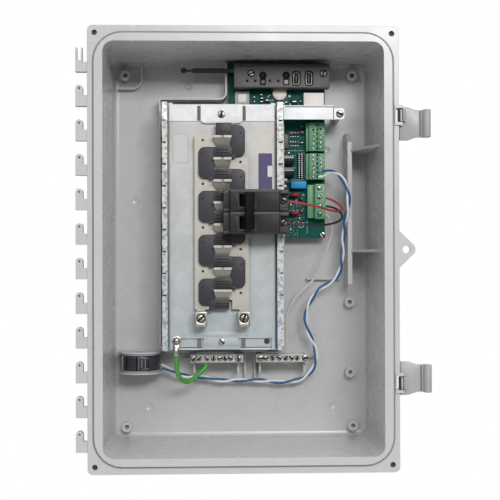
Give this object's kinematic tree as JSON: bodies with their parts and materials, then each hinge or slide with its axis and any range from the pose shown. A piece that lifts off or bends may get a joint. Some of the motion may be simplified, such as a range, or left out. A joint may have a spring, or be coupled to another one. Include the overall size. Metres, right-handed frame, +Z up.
{
  "type": "subpanel enclosure",
  "caption": "Open moulded wall box with a load centre, plug-on breaker, circuit board, terminal bars, current transformer and snap latches.",
  "frame": {"origin": "centre of the box's back face, which rests on the wall", "axes": "+X to the right as seen from the front, -Y out of the front, +Y into the wall, +Z up"},
  "size_m": [0.3936, 0.1382, 0.495],
  "materials": {
    "grey_polycarbonate": "moulded light grey, glossy",
    "galvanised_steel": "bright galvanised sheet",
    "tinned_bus": "tin plated, warm silver",
    "black_phenolic": "black moulded, satin",
    "lug_aluminium": "tinned, dull",
    "tinned_copper": "tinned copper crimp",
    "board_green": "green solder mask",
    "dark_cover_plastic": "dark grey brown, satin",
    "white_plastic": "off white, satin",
    "zinc_plated_steel": "bright zinc plate",
    "terminal_green": "green moulded",
    "capacitor_blue": "blue, glossy",
    "varistor_red": "red epoxy coat",
    "insulation_red": "red insulation",
    "insulation_black": "black insulation",
    "insulation_beige": "beige insulation",
    "insulation_blue": "blue insulation",
    "insulation_white": "white insulation",
    "insulation_green": "green insulation"
  },
  "bodies": {
    "enclosure": {"enclosure_base": "grey_polycarbonate", "panel_pan": "galvanised_steel", "board_strap": "galvanised_steel", "bus_bar_left": "tinned_bus", "bus_bar_right": "tinned_bus", "ground_bar": "tinned_bus", "neutral_bar": "tinned_bus", "bus_insulator": "black_phenolic", "breaker_pole_upper": "black_phenolic", "breaker_pole_lower": "black_phenolic", "current_transformer": "black_phenolic", "lug_left": "lug_aluminium", "lug_right": "lug_aluminium", "ring_terminal": "tinned_copper", "circuit_board": "board_green", "board_cover": "dark_cover_plastic", "light_guide_left": "white_plastic", "light_guide_right": "white_plastic", "usb_port_left": "zinc_plated_steel", "usb_port_right": "zinc_plated_steel", "signal_terminals_upper": "terminal_green", "signal_terminals_lower": "terminal_green", "power_terminals": "terminal_green", "coin_cell": "zinc_plated_steel", "film_capacitor": "capacitor_blue", "relay_block": "white_plastic", "shielded_module": "white_plastic", "pin_header": "black_phenolic", "signal_relay_upper": "black_phenolic", "signal_relay_lower": "black_phenolic", "varistor_upper": "varistor_red", "varistor_lower": "varistor_red", "wire_red": "insulation_red", "wire_black": "insulation_black", "wire_neutral": "insulation_beige", "ct_wire_blue": "insulation_blue", "ct_wire_white": "insulation_white", "ground_wire": "insulation_green", "lug_screw_left": "zinc_plated_steel", "lug_screw_right": "zinc_plated_steel", "pan_screw_top": "zinc_plated_steel", "pan_screw_bottom": "zinc_plated_steel", "ground_screw": "zinc_plated_steel", "breaker_screw_upper": "zinc_plated_steel", "breaker_screw_lower": "zinc_plated_steel", "cover_screw_left": "zinc_plated_steel", "cover_screw_right": "zinc_plated_steel", "board_screw": "zinc_plated_steel", "strap_screw": "zinc_plated_steel", "bar_screw_ground_left": "zinc_plated_steel", "bar_screw_ground_right": "zinc_plated_steel", "bar_screw_neutral_left": "zinc_plated_steel", "bar_screw_neutral_right": "zinc_plated_steel"},
    "latch_upper": {"latch_upper": "grey_polycarbonate"},
    "latch_lower": {"latch_lower": "grey_polycarbonate"},
    "breaker_toggle": {"breaker_handle": "black_phenolic"},
    "button_left": {"button_left": "black_phenolic"},
    "button_right": {"button_right": "black_phenolic"}
  },
  "joints": [
    {"name": "latch_upper_hinge", "type": "hinge", "parent": "enclosure", "child": "latch_upper", "pos_m": [0.1749, -0.1336, 0.1396], "axis": [0, 0, -1], "range_deg": [0, 92]},
    {"name": "latch_lower_hinge", "type": "hinge", "parent": "enclosure", "child": "latch_lower", "pos_m": [0.1749, -0.1336, -0.144], "axis": [0, 0, -1], "range_deg": [0, 92]},
    {"name": "breaker_handle_hinge", "type": "hinge", "parent": "enclosure", "child": "breaker_toggle", "pos_m": [0.0041, -0.103, 0.0429], "axis": [0, 0, -1], "range_deg": [0, 29]},
    {"name": "button_left_press", "type": "slide", "parent": "enclosure", "child": "button_left", "axis": [0, 1, 0], "range_m": [0, 0.0015], "stiffness_N_per_m": 400},
    {"name": "button_right_press", "type": "slide", "parent": "enclosure", "child": "button_right", "axis": [0, 1, 0], "range_m": [0, 0.0015], "stiffness_N_per_m": 400}
  ]
}
